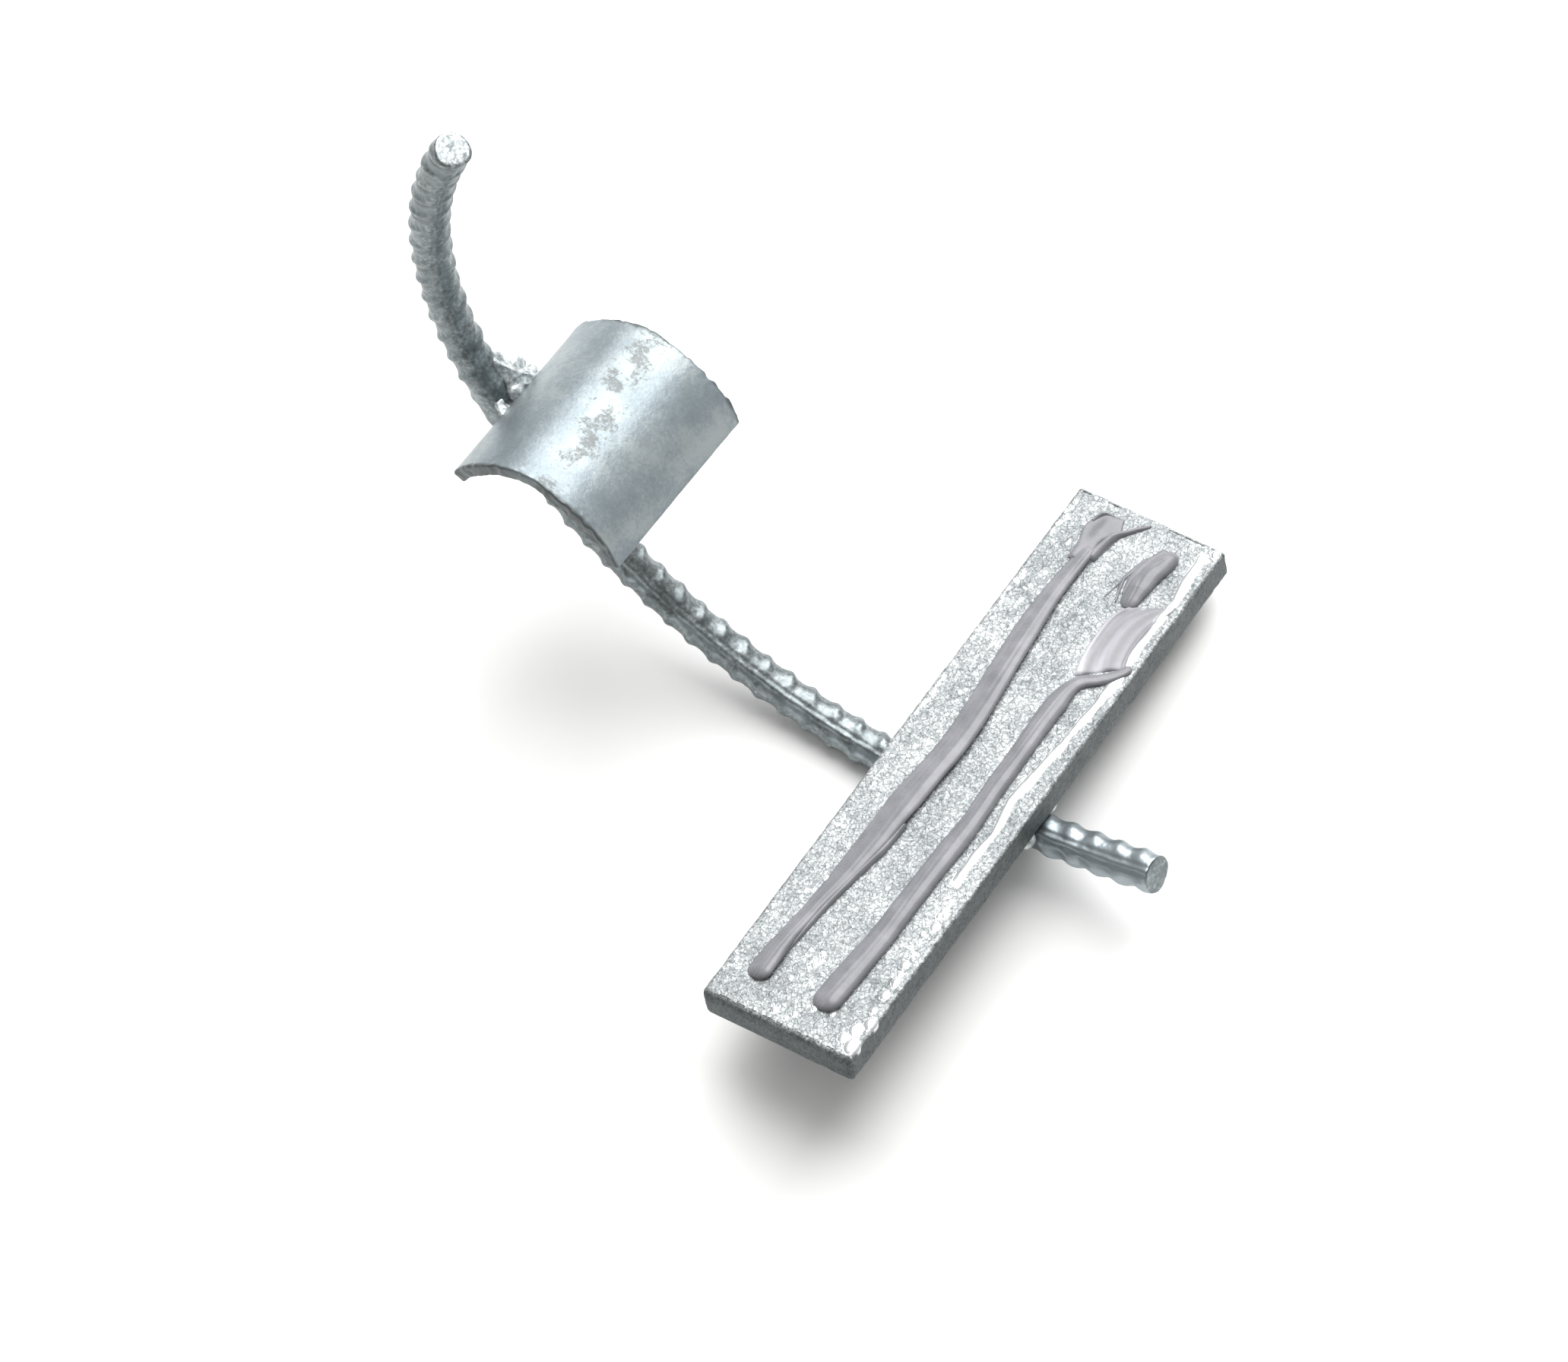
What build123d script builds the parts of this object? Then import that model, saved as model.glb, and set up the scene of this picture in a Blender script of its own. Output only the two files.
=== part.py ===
from build123d import *
import math
import os

# A hot-dip galvanised weldment: a bent ribbed bar carries a half-pipe saddle on
# its hooked side and a flat plate across its other end. Two beads of sealant lie
# on the plate. The piece is drawn with the plate level, then laid down as it
# rests on a table: on the bar's curve and on one corner of the plate.
#
# Drawing frame, in millimetres: X runs across the plate along the bar, Y runs
# along the plate, Z is up, and the origin is the middle of the plate's top face.

# Flat plate
plate_length = 160.0
plate_width = 40.0
plate_thickness = 8.0
plate_edge_radius = 1.0
plate_corner_radius = 1.6

# Ribbed bar: core, bend and cut lengths
bar_core = 8.4
bar_low_x = -1.7
bar_fit_gap = 0.05
bend_radius = 126.0
bend_angle = 78.0
tip_radius = 100.5
tip_angle = 43.6
stub_radius = 235.0
stub_reach = 50.0

# Rolled pattern of the bar: crescent ribs in two rows between two long ridges
rib_pitch = 6.6
rib_height = 0.5
rib_thickness = 1.5
rib_slant = 22.0
ridge_width = 1.3
ridge_height = 0.25
ridge_angle = -36.0

# Half-pipe saddle
saddle_outer = 48.3
saddle_wall = 3.2
saddle_length = 49.5
saddle_first_angle = 11.0
saddle_last_angle = 147.0
saddle_on_bend = 68.1
saddle_gap = 0.3
saddle_offset = 0.4
saddle_twist = -3.3

# Welds
plate_weld_leg = 4.5
plate_weld_down = 0.6
plate_weld_overrun = 1.5
web_up_bar = 16.0
web_along_saddle = 10.5
tack_up_bar = 6.0
tack_along_saddle = 7.5
web_depth = 6.0
web_root = 2.6

# Sealant, laid on the plate's top face
bead_width = 6.5
bead_height = 2.4
bead_turn = 14.0
film_thickness = 0.9
smear_thickness = 1.3

# How the piece lies: the bar rolls this far back from level
rock_angle = 12.7

os.makedirs("parts", exist_ok=True)


def at(x, z, y=0.0):
    """A point in the bar's plane, or beside it."""
    return Vector(x, y, z)


def rise(radius, reach):
    """How far an arc that starts level climbs over a horizontal reach."""
    return radius - math.sqrt(radius**2 - reach**2)


# ---- the bar's centre line ------------------------------------------------

# The bar touches the underside of the plate at the plate's hook-side edge.
bar_low_z = (
    -plate_thickness - bar_core / 2 - bar_fit_gap
    - rise(bend_radius, plate_width / 2 + bar_low_x)
)
bend_centre = at(bar_low_x, bar_low_z + bend_radius)
bend_end = math.radians(bend_angle)
tip_shift = bend_radius - tip_radius
tip_centre = at(
    bend_centre.X - tip_shift * math.sin(bend_end),
    bend_centre.Z - tip_shift * math.cos(bend_end),
)
stub_centre = at(bar_low_x, bar_low_z + stub_radius)
stub_turn = math.asin((stub_reach - bar_low_x) / stub_radius)


def on_arc(centre, radius, turn):
    """Point, direction towards the tip and inward normal, turn radians past the lowest point."""
    inward = Vector(math.sin(turn), 0, math.cos(turn))
    along = Vector(-math.cos(turn), 0, math.sin(turn))
    return centre - inward * radius, along, inward


stub_length = stub_radius * stub_turn
bend_length = bend_radius * bend_end
tip_length = tip_radius * math.radians(tip_angle)
bar_length = stub_length + bend_length + tip_length


def station(distance):
    """The centre line, distance millimetres from the stub's end."""
    if distance < stub_length:
        return on_arc(stub_centre, stub_radius, distance / stub_radius - stub_turn)
    distance -= stub_length
    if distance < bend_length:
        return on_arc(bend_centre, bend_radius, distance / bend_radius)
    distance -= bend_length
    return on_arc(tip_centre, tip_radius, bend_end + distance / tip_radius)


def arc(centre, radius, first, last):
    """One arc of the centre line, between two turns in radians."""
    turns = (first, (first + last) / 2, last)
    return ThreePointArc(*(on_arc(centre, radius, turn)[0] for turn in turns))


centre_line = Wire([
    arc(stub_centre, stub_radius, -stub_turn, 0),
    arc(bend_centre, bend_radius, 0, bend_end),
    arc(tip_centre, tip_radius, bend_end, bend_end + math.radians(tip_angle)),
])


# ---- half-pipe saddle -----------------------------------------------------

saddle_radius = saddle_outer / 2
contact, up_bar, inward = on_arc(bend_centre, bend_radius, math.radians(saddle_on_bend))
saddle_station = stub_length + bend_radius * math.radians(saddle_on_bend)


def around(angle, radius=1.0):
    """A vector in the bar's plane, angle degrees up from X."""
    return at(math.cos(math.radians(angle)) * radius, math.sin(math.radians(angle)) * radius)


saddle_edge = contact + inward * (bar_core / 2 + saddle_gap)
saddle_centre = saddle_edge - around(saddle_last_angle, saddle_radius)


def make_saddle():
    """A length of tube cut along two lines, its edge against the inside of the bend."""
    ring = Circle(saddle_radius) - Circle(saddle_radius - saddle_wall)
    reach = saddle_outer
    cut = Polyline(
        (0, 0),
        (reach * math.cos(math.radians(saddle_first_angle)),
         reach * math.sin(math.radians(saddle_first_angle))),
        (reach, 2 * reach),
        (-reach, 2 * reach),
        (reach * math.cos(math.radians(saddle_last_angle)),
         reach * math.sin(math.radians(saddle_last_angle))),
        close=True,
    )
    shell = extrude(ring & make_face(cut), saddle_length / 2, both=True)
    shell = fillet(shell.edges().filter_by(GeomType.CIRCLE), 0.4)
    # The section is drawn in XY: stand it up so that its axis runs along Y.
    standing = Plane(origin=(0, 0, 0), x_dir=(1, 0, 0), z_dir=(0, -1, 0)) * shell
    turned = Rot(X=saddle_twist) * standing
    return Pos(saddle_centre.X, saddle_offset, saddle_centre.Z) * turned


# ---- ribbed bar -----------------------------------------------------------

def section_plane(distance):
    """A plane square to the bar, X towards the inside of the bend."""
    point, along, normal = station(distance)
    return Plane(origin=point, x_dir=normal, z_dir=along)


def rib(distance, row_angle):
    """One crescent rib: a slanted disc set off the bar's axis."""
    place = section_plane(distance)
    disc = Cylinder(bar_core / 2, rib_thickness)
    return place * Rot(Z=row_angle) * Pos(X=rib_height) * Rot(X=rib_slant) * disc


def rib_has_room(distance):
    """Ribs are left off under the plate and where the saddle sits."""
    point = station(distance)[0]
    under_plate = abs(point.X) < plate_width / 2 + rib_pitch / 2 and point.Z < 0
    at_saddle = abs(distance - saddle_station) < rib_pitch * 0.8
    return not (under_plate or at_saddle)


def make_bar():
    """The swept core with its two long ridges and two rows of crescent ribs."""
    ridge = Rectangle(2 * ridge_height, ridge_width)
    profile = Circle(bar_core / 2)
    for side in (0, 180):
        profile += Rot(Z=ridge_angle + side) * Pos(X=bar_core / 2) * ridge
    core = sweep(section_plane(0) * profile, path=centre_line)
    ribs = []
    for row, row_angle in enumerate((ridge_angle - 90, ridge_angle + 90)):
        distance = rib_pitch * (0.7 + 0.5 * row)
        while distance < bar_length - rib_pitch * 0.5:
            if rib_has_room(distance):
                ribs.append(rib(distance, row_angle))
            distance += rib_pitch
    return core.fuse(*ribs)


# ---- plate ----------------------------------------------------------------

def make_plate():
    """Flat bar with its rolled edges and sawn corners eased."""
    plate = Pos(Z=-plate_thickness / 2) * Box(plate_width, plate_length, plate_thickness)
    plate = fillet(plate.edges().filter_by(Axis.Z), plate_corner_radius)
    plate = fillet(plate.edges().filter_by(Axis.Y), plate_edge_radius)
    return plate


# ---- welds ----------------------------------------------------------------

def plate_weld(side, bar, plate):
    """Fillet along one side of the bar, in the corner under the plate."""
    run = plate_width + 2 * plate_weld_overrun
    toe = side * (bar_core / 2 + plate_weld_leg)
    flank = side * bar_core / 2
    outline = Polyline(
        (0, 0), (toe, 0), (flank, -bar_core / 2 - plate_weld_down), (0, -bar_core / 2 - plate_weld_down),
        close=True,
    )
    across = Plane(origin=(-run / 2, 0, -plate_thickness), x_dir=(0, 1, 0), z_dir=(1, 0, 0))
    bead = extrude(across * make_face(outline), run)
    return (bead - bar - plate).solids().sort_by(SortBy.VOLUME)[-1]


def saddle_weld(side, up, out, bar, saddle):
    """Web of weld in the corner between the bar and the saddle's edge."""
    lie = Plane(origin=contact - inward * 0.5, x_dir=up_bar, z_dir=inward)
    # In that plane X runs up the bar and Y runs across it.
    across = 1 if lie.y_dir.Y * side > 0 else -1
    outline = Polyline(
        (0, across * web_root),
        (up, across * web_root),
        (up * 0.45, across * (web_root + (out - web_root) * 0.42)),
        (0.6, across * out),
        (0, across * out),
        close=True,
    )
    web = extrude(lie * make_face(outline), web_depth)
    return (web - bar - saddle).solids().sort_by(SortBy.VOLUME)[-1]


# ---- sealant --------------------------------------------------------------

left_run = [
    (-11.5, -71.5), (-11.2, -56.0), (-8.4, -37.0), (-6.9, -17.0), (-7.7, 0.5),
    (-7.6, 17.5), (-9.0, 36.5), (-9.5, 54.0), (-9.8, 67.0),
]
right_run = [(7.1, -72.0), (6.6, -55.5), (6.0, -36.7), (7.2, -12.0), (7.5, 10.6), (8.8, 31.0)]
end_run = [(7.6, 57.5), (9.0, 65.5), (11.4, 72.5)]
film_outline = [
    (6.6, 30.5), (5.4, 40.0), (6.6, 52.0), (8.6, 59.0), (14.6, 58.0), (18.8, 59.6),
    (17.2, 51.0), (17.0, 46.0), (18.8, 40.5), (15.6, 36.5), (11.6, 33.0),
]
smear_outline = [
    (-13.2, 65.5), (-14.0, 73.5), (-10.5, 77.0), (-4.0, 76.2), (1.0, 77.8),
    (2.2, 69.5), (-2.5, 67.5), (-6.4, 63.5),
]


def dome(point, outward):
    """The rounded end of a bead: a quarter of an ellipsoid standing on the plate."""
    ball = scale(Sphere(1.0), by=(bead_height, bead_width / 2, bead_width / 2))
    quarter = Pos(X=bead_height, Z=bead_width) * Box(2 * bead_height, 2 * bead_width, 2 * bead_width)
    return Plane(origin=point, x_dir=(0, 0, 1), z_dir=outward) * (ball & quarter)


def bead(points):
    """A bead of sealant: a half-round run with domed ends."""
    path = FilletPolyline(*points, radius=bead_turn)
    half = Ellipse(bead_height, bead_width / 2)
    half &= Pos(X=bead_height) * Rectangle(2 * bead_height, 2 * bead_width)
    run = sweep(Plane(origin=path @ 0, x_dir=(0, 0, 1), z_dir=path % 0) * half, path=path)
    return run.fuse(dome(path @ 0, (path % 0) * -1), dome(path @ 1, path % 1))


def smear(points, thickness, *neighbours):
    """A flat patch of smeared sealant, cut back where a bead already lies."""
    patch = extrude(make_face(Polyline(*points, close=True)), thickness)
    for neighbour in neighbours:
        patch -= neighbour
    return patch.solids().sort_by(SortBy.VOLUME)[-1]


# ---- assembly -------------------------------------------------------------

bar = make_bar()
saddle = make_saddle()
plate = make_plate()
left_bead = bead(left_run)
right_bead = bead(right_run)
end_bead = bead(end_run)

pieces = {
    "ribbed_bar": bar,
    "half_pipe_saddle": saddle,
    "cross_plate": plate,
    "plate_weld_near": plate_weld(-1, bar, plate),
    "plate_weld_far": plate_weld(1, bar, plate),
    "saddle_weld_web": saddle_weld(1, web_up_bar, web_along_saddle, bar, saddle),
    "saddle_weld_tack": saddle_weld(-1, tack_up_bar, tack_along_saddle, bar, saddle),
    "sealant_bead_left": left_bead,
    "sealant_bead_right": right_bead,
    "sealant_bead_end": end_bead,
    "sealant_film": smear(film_outline, film_thickness, right_bead, end_bead),
    "sealant_smear": smear(smear_outline, smear_thickness, left_bead),
}


def lying():
    """Turn from the drawing frame to how the piece rests on a table."""
    # Rolling back by rock_angle leaves the bar touching on its bend. The plate's
    # lower far corner then comes down until it touches as well.
    roll = math.radians(rock_angle)
    up = Vector(math.sin(roll), 0, math.cos(roll))
    corner = at(-plate_width / 2 + plate_edge_radius, -plate_thickness + plate_edge_radius)
    drop = (corner - bend_centre).dot(up) + bend_radius
    half = plate_length / 2 - plate_corner_radius
    touch = bar_core / 2 + rib_height - plate_edge_radius
    swing = math.asin(touch / math.hypot(half, drop)) + math.atan2(drop, half)
    return Rot(X=-math.degrees(swing)) * Rot(Y=-rock_angle)


turned = {name: lying() * piece for name, piece in pieces.items()}
box = Compound([piece for piece in turned.values()]).bounding_box()
to_table = Pos(-box.center().X, -box.center().Y, -box.min.Z)

for name, piece in turned.items():
    export_step(to_table * piece, f"parts/{name}.step")
    print(name, "volume", round(piece.volume, 1))
print("bar length", round(bar_length, 1), "size", box.size)
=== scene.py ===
"""A hot-dip galvanised weldment: a hooked ribbed bar that carries a half-pipe saddle
and a flat cross plate, with beads of grey sealant on the plate.

Shapes are worked out in the drawing frame, in millimetres: X runs across the plate
along the bar, Y runs along the plate, Z is up from the plate's top face, and the
origin is the middle of that face. laid() then puts them where the piece lies.
"""
import math

import bmesh
import bpy
import numpy as np
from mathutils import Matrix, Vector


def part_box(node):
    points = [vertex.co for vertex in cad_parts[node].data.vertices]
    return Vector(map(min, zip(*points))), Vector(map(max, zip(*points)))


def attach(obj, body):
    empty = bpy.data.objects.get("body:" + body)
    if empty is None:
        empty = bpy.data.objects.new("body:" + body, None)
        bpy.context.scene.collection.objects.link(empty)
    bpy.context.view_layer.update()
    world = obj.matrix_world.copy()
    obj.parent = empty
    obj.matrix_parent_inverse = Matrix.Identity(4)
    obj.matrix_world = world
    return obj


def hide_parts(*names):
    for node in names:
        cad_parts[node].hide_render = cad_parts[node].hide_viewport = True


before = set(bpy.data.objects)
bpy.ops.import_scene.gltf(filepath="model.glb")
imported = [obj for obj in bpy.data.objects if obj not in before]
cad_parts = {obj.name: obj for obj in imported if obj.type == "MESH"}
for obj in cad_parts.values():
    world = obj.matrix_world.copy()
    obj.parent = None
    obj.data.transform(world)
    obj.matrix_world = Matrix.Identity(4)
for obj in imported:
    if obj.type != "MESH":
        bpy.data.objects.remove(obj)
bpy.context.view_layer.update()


# ==== Cross plate ==================================================================
# A 160 mm length of 40 x 8 mm hot-rolled flat bar, sheared square and welded across
# the ribbed bar. The zinc bath left it speckled, with a thick smooth run of zinc
# along one edge that breaks up into drops.

plate_length = 160.0
plate_width = 40.0
plate_thickness = 8.0
rocked = 12.7  # degrees that the plate's hook side is turned down
swung = 6.859  # degrees that its far end is turned down


def laid(points):
    """From the drawing frame to where the piece lies, in metres.

    A turn about Y by -rocked, a turn about X by -swung, then the shift that brings
    the plate's middle to the middle of the CAD plate.
    """
    rock, swing = math.radians(-rocked), math.radians(-swung)
    about_y = np.array([
        [math.cos(rock), 0, math.sin(rock)], [0, 1, 0], [-math.sin(rock), 0, math.cos(rock)],
    ])
    about_x = np.array([
        [1, 0, 0], [0, math.cos(swing), -math.sin(swing)], [0, math.sin(swing), math.cos(swing)],
    ])
    turn = about_x @ about_y
    low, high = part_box("cross_plate")
    middle = (np.array(low) + np.array(high)) / 2
    shift = middle - turn @ np.array([0, 0, -plate_thickness / 2000])
    return np.asarray(points) / 1000 @ turn.T + shift


def lumps(points, grain, seed):
    """Smooth random heights from -1 to 1.

    Random values on a cubic lattice, grain millimetres apart, are blended with
    weights f*f*(3 - 2f) of the fraction f along each side of the lattice's cell.
    """
    table = np.random.default_rng(seed).uniform(-1, 1, (32, 32, 32))
    place = np.asarray(points) / grain
    cell = np.floor(place).astype(int)
    part = place - cell
    part = part * part * (3 - 2 * part)
    total = np.zeros(place.shape[:-1])
    for corner in np.ndindex(2, 2, 2):
        weight = np.prod(np.where(np.array(corner) == 1, part, 1 - part), axis=-1)
        index = (cell + np.array(corner)) % 32
        total += weight * table[index[..., 0], index[..., 1], index[..., 2]]
    return total


def outward(grid):
    """Unit normals of a grid whose columns close on themselves.

    They are the cross product of the steps along the columns and the rows, turned
    so that the sum of point . normal, three times the shell's volume, is positive.
    """
    down = np.gradient(grid, axis=0)
    across = np.roll(grid, -1, axis=1) - np.roll(grid, 1, axis=1)
    normal = np.cross(across, down)
    normal *= np.sign(np.sum(normal * (grid - grid.mean(axis=(0, 1)))))
    length = np.linalg.norm(normal, axis=-1, keepdims=True)
    return normal / np.maximum(length, 1e-9)


def make_piece(name, grids, material, stands_for, marks=None):
    """One visible piece: a mesh from closed grids of points in the drawing frame.

    Each grid's columns close on themselves and its first and last rows fall together
    in a point or a line, so every grid is a closed shell. marks gives named values
    from 0 to 1, one for each point, that the material reads.
    """
    corners, faces, start = [], [], 0
    for grid in grids:
        rows, columns = grid.shape[:2]
        row, column = np.meshgrid(np.arange(rows - 1), np.arange(columns), indexing="ij")
        following = (column + 1) % columns
        faces.append(start + np.stack([
            row * columns + column, row * columns + following,
            (row + 1) * columns + following, (row + 1) * columns + column,
        ], -1).reshape(-1, 4))
        corners.append(laid(grid).reshape(-1, 3))
        start += rows * columns
    mesh = bpy.data.meshes.new(name)
    mesh.from_pydata(np.concatenate(corners).tolist(), [], np.concatenate(faces).tolist())
    for mark, values in (marks or {}).items():
        layer = mesh.attributes.new(mark, "FLOAT", "POINT")
        shares = np.concatenate([value.ravel() for value in values])
        layer.data.foreach_set("value", shares.astype(np.float32))
    form = bmesh.new()
    form.from_mesh(mesh)
    bmesh.ops.remove_doubles(form, verts=form.verts, dist=1e-6)
    bmesh.ops.recalc_face_normals(form, faces=form.faces)
    form.to_mesh(mesh)
    form.free()
    mesh.polygons.foreach_set("use_smooth", np.ones(len(mesh.polygons), bool))
    mesh.materials.append(material)
    piece = bpy.data.objects.new(name, mesh)
    bpy.context.scene.collection.objects.link(piece)
    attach(piece, "root")
    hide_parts(*stands_for)


def colour(code):
    """An sRGB hex value as the linear colour that the shader takes."""
    parts = [int(code[i:i + 2], 16) / 255 for i in (1, 3, 5)]
    return [p / 12.92 if p <= 0.04045 else ((p + 0.055) / 1.055) ** 2.4 for p in parts] + [1.0]


def add(tree, kind, settings=None, **inputs):
    """Adds one node. settings are its own values, inputs are numbers, colours or links.

    A ramp takes stops, a list of place and colour. Spaces in an input's name are
    written as underscores, and _0, _1 and so on stand for inputs by their number.
    """
    made = tree.nodes.new(kind)
    for key, value in (settings or {}).items():
        if key == "stops":
            ramp = made.color_ramp
            while len(ramp.elements) < len(value):
                ramp.elements.new(0.5)
            for element, (place, tone) in zip(ramp.elements, value):
                element.position = place
                element.color = colour(tone)
        else:
            setattr(made, key, value)
    for key, value in inputs.items():
        name = int(key[1:]) if key[0] == "_" else key.replace("_", " ")
        if isinstance(value, bpy.types.NodeSocket):
            tree.links.new(value, made.inputs[name])
        else:
            made.inputs[name].default_value = value
    return made


def new_material(name):
    """An empty node material and its tree."""
    material = bpy.data.materials.new(name)
    material.use_nodes = True
    material.node_tree.nodes.clear()
    return material, material.node_tree


def finish_material(tree, shader):
    """Connects the shader to the material's output."""
    add(tree, "ShaderNodeOutputMaterial", Surface=shader.outputs["BSDF"])


# Hot-dip zinc on rolled steel: a metal, dull and finely speckled where the crystals are
# small, smooth where it ran thick and painted pale there as a painted highlight, and darker
# on the sides and underside: duller rolled zinc with painted shade.
zinc_grain = 0.5  # mm across one speckle, drawn a little coarse so that it shows
crystal_size = zinc_grain * 1.6
crack_spacing = zinc_grain * 2.6
cloud_size = 9.0

zinc_flat, tree = new_material("galvanised_flat")
place = add(tree, "ShaderNodeTexCoord").outputs["Object"]
run = add(tree, "ShaderNodeAttribute", {"attribute_name": "zinc_run"}).outputs["Fac"]
flank = add(tree, "ShaderNodeAttribute", {"attribute_name": "rolled_side"}).outputs["Fac"]
fine = add(
    tree, "ShaderNodeTexNoise",
    Vector=place, Scale=1000 / zinc_grain, Detail=3.0, Roughness=0.65,
)
crystal = add(tree, "ShaderNodeTexVoronoi", Vector=place, Scale=1000 / crystal_size)
cloud = add(
    tree, "ShaderNodeTexNoise", Vector=place, Scale=1000 / cloud_size, Detail=4.0, Roughness=0.6,
)
speckle = add(
    tree, "ShaderNodeMath", {"operation": "MULTIPLY_ADD"},
    _0=crystal.outputs["Color"], _1=0.22, _2=fine.outputs["Fac"],
)
speckle = add(
    tree, "ShaderNodeMath", {"operation": "MULTIPLY_ADD"},
    _0=cloud.outputs["Fac"], _1=0.42, _2=speckle.outputs[0],
)
crack = add(
    tree, "ShaderNodeTexVoronoi", {"feature": "DISTANCE_TO_EDGE"},
    Vector=place, Scale=1000 / crack_spacing,
)
crack = add(
    tree, "ShaderNodeMapRange",
    Value=crack.outputs["Distance"], From_Min=0.0, From_Max=0.12, To_Min=-0.16, To_Max=0.0,
)
speckle = add(
    tree, "ShaderNodeMath", {"operation": "ADD"}, _0=speckle.outputs[0], _1=crack.outputs[0],
)
tone = add(tree, "ShaderNodeValToRGB", {"stops": [
    (0.54, "#666c6e"), (0.70, "#888c8e"), (0.86, "#a3a7a8"), (1.0, "#dcdedf"),
]}, Fac=speckle.outputs[0])
side_tone = add(tree, "ShaderNodeValToRGB", {"stops": [
    (0.55, "#414748"), (1.0, "#6f7576"),
]}, Fac=speckle.outputs[0])
# Painted shade with duller zinc: the sides and underside take the darker side tone.
tone = add(
    tree, "ShaderNodeMix", {"data_type": "RGBA"},
    Factor=flank, _6=tone.outputs["Color"], _7=side_tone.outputs["Color"],
)
# Painted highlight: the smooth run and drops are painted pale, #dcdfe0.
tone = add(
    tree, "ShaderNodeMix", {"data_type": "RGBA"},
    Factor=run, _6=tone.outputs[2], _7=colour("#dcdfe0"),
)
rough = add(
    tree, "ShaderNodeMapRange",
    Value=fine.outputs["Fac"], From_Min=0.3, From_Max=0.7, To_Min=0.44, To_Max=0.60,
)
rough = add(
    tree, "ShaderNodeMix", {"data_type": "FLOAT"},
    Factor=run, _2=rough.outputs[0], _3=0.20,
)
calm = add(tree, "ShaderNodeMath", {"operation": "SUBTRACT"}, _0=1.0, _1=run)
relief = add(
    tree, "ShaderNodeMath", {"operation": "MULTIPLY"},
    _0=speckle.outputs[0], _1=calm.outputs[0],
)
bump = add(tree, "ShaderNodeBump", Strength=0.55, Distance=0.0003, Height=relief.outputs[0])
shader = add(
    tree, "ShaderNodeBsdfPrincipled", Base_Color=tone.outputs[2], Metallic=0.7,
    Roughness=rough.outputs[0], Normal=bump.outputs[0],
)
finish_material(tree, shader)


def box_section(half_x, half_z, radius, steps):
    """A closed loop round a rounded rectangle, about the origin.

    Each corner is a quarter circle of six steps. steps gives the points on the top,
    one side and the bottom, and the straight stretches run between the corners.
    """
    top, side, bottom = steps
    sign = [(1, 1), (-1, 1), (-1, -1), (1, -1)]
    loop = []
    for corner, count in enumerate((top, side, bottom, side)):
        turn = np.radians(np.linspace(90 * corner, 90 * corner + 90, 7))
        middle = np.array(sign[corner]) * (half_x - radius, half_z - radius)
        rounded = middle + radius * np.stack([np.cos(turn), np.sin(turn)], -1)
        after = np.array(sign[(corner + 1) % 4]) * (half_x - radius, half_z - radius)
        onward = after + radius * np.array([np.cos(turn[-1]), np.sin(turn[-1])])
        share = np.linspace(0, 1, count + 1)[1:-1, None]
        loop += [rounded, rounded[-1] * (1 - share) + onward * share]
    return np.concatenate(loop)


def gauss(value, width):
    """A bell curve of height 1."""
    return np.exp(-(np.asarray(value) / width) ** 2)


edge_radius = 0.9
end_rings = 6  # rings that close each end, and rings round its edge
loop = box_section(plate_width / 2, plate_thickness / 2, edge_radius, (140, 8, 20))
turn = np.radians(np.linspace(0, 90, end_rings))
half = plate_length / 2
edge_rows = edge_radius * (1 - np.sin(turn))
middle_rows = np.linspace(-half + edge_radius, half - edge_radius, 440)
rows = np.concatenate([
    np.full(end_rings, -half), -half + edge_rows[::-1], middle_rows,
    half - edge_rows, np.full(end_rings, half),
])
inset = edge_radius * (1 - np.cos(turn))
flat_end = np.full(end_rings, inset[-1])
inset = np.concatenate([flat_end, inset[::-1], np.zeros(len(middle_rows)), inset, flat_end])
shut = np.linspace(0, 1, end_rings + 1)
shut = np.concatenate([shut[:-1], np.ones(len(rows) - 2 * end_rings), shut[::-1][1:]])
open_row = (shut > 0.99)[:, None]  # rows that are not part of the flat ends

x = loop[None, :, 0] * (1 - inset / (plate_width / 2))[:, None]
z = loop[None, :, 1] * ((1 - inset / (plate_thickness / 2)) * shut)[:, None]
y = np.repeat(rows[:, None], loop.shape[0], axis=1)
plate = np.stack([x, y, z - plate_thickness / 2], -1)

# The sheared ends: the near one has a rolled-over upper band, the far one leans.
end_reach = 3.0
band_depth = 2.8
near_end = np.clip((-y - half + end_reach) / end_reach, 0, 1)
far_end = np.clip((y - half + end_reach) / end_reach, 0, 1)
plate[..., 1] += near_end * 0.9 * np.clip((plate[..., 2] + band_depth) / band_depth, 0, 1) ** 1.5
plate[..., 1] -= far_end * 0.5 * (plate[..., 0] / plate_width + 0.5)

# The thick run of zinc near the stub-side edge wanders, breaks once, and turns into
# drops at its near end. Small drops lie in four groups, and a few larger ones singly.
run_start, run_break, run_stop = -29.0, 41.0, 77.0
run_y = [-30, -20, -13, -3, 9, 22, 36, 48, 62, 76]
run_x = [15.0, 14.6, 15.3, 13.8, 15.1, 16.2, 17.2, 16.5, 17.1, 16.0]
px, py = plate[..., 0], plate[..., 1]
on_top = (plate[..., 2] > -1.0) & open_row
wander = np.interp(py, run_y, run_x) + 0.1 * np.sin(py / 1.9)
run_width = 1.1 + 0.2 * np.sin(py / 5.3 + 1) + 0.15 * np.sin(py / 1.7)
whole = np.clip((py - run_start) / 3, 0, 1) * np.clip((run_stop - py) / 2, 0, 1)
whole = whole * (1 - 0.85 * gauss(py - run_break, 1.6))
run_height = whole * np.sqrt(np.clip(1 - ((px - wander) / run_width) ** 2, 0, 1))
drops = np.random.default_rng(7)
drop_y = np.concatenate([
    drops.uniform(-66, -29, 16), drops.uniform(-66, 66, 30), drops.uniform(-78, -58, 14),
    drops.uniform(0, 78, 26), [-76, -72, -69, -75, 77.8, -40.2, -52.1, -57, -61],
])
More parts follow.
